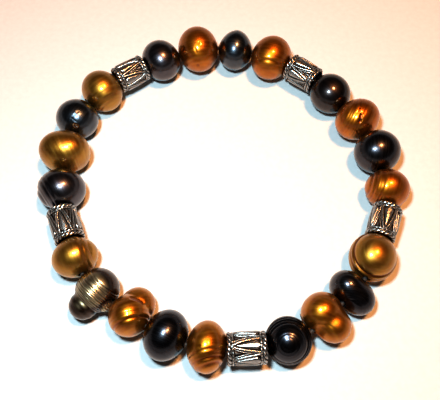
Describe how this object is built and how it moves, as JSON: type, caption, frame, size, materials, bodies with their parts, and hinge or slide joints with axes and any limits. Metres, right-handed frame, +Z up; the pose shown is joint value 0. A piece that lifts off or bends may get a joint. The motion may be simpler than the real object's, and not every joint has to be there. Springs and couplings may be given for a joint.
{
  "type": "pearl bracelet",
  "caption": "Stretch bracelet of drilled baroque pearls and short ornamented silver tube beads on a closed elastic cord, lying flat as a ring.",
  "frame": {"origin": "middle of the bracelet's outline, on the surface that it lies on", "axes": "+Z up from the surface, along the way that a wrist goes through; +Y towards the side of the ring with five pearls and no tube at its middle"},
  "size_m": [0.0702, 0.0714, 0.009],
  "materials": {
    "gold_pearl": "metallic nacre",
    "black_pearl": "metallic nacre",
    "antique_silver": "oxidised silver, bright on the ridges and dark in the recesses",
    "elastic": "matt"
  },
  "bodies": {
    "root": {"gold_pearl_1": "gold_pearl", "gold_pearl_2": "gold_pearl", "gold_pearl_3": "gold_pearl", "gold_pearl_4": "gold_pearl", "gold_pearl_5": "gold_pearl", "gold_pearl_6": "gold_pearl", "gold_pearl_7": "gold_pearl", "gold_pearl_8": "gold_pearl", "gold_pearl_9": "gold_pearl", "gold_pearl_10": "gold_pearl", "gold_pearl_11": "gold_pearl", "black_pearl_1": "black_pearl", "black_pearl_2": "black_pearl", "black_pearl_3": "black_pearl", "black_pearl_4": "black_pearl", "black_pearl_5": "black_pearl", "black_pearl_6": "black_pearl", "black_pearl_7": "black_pearl", "black_pearl_8": "black_pearl", "black_pearl_9": "black_pearl", "black_pearl_10": "black_pearl", "silver_tube_1": "antique_silver", "silver_tube_2": "antique_silver", "silver_tube_3": "antique_silver", "silver_tube_4": "antique_silver", "silver_tube_5": "antique_silver", "elastic_cord": "elastic"}
  },
  "joints": []
}
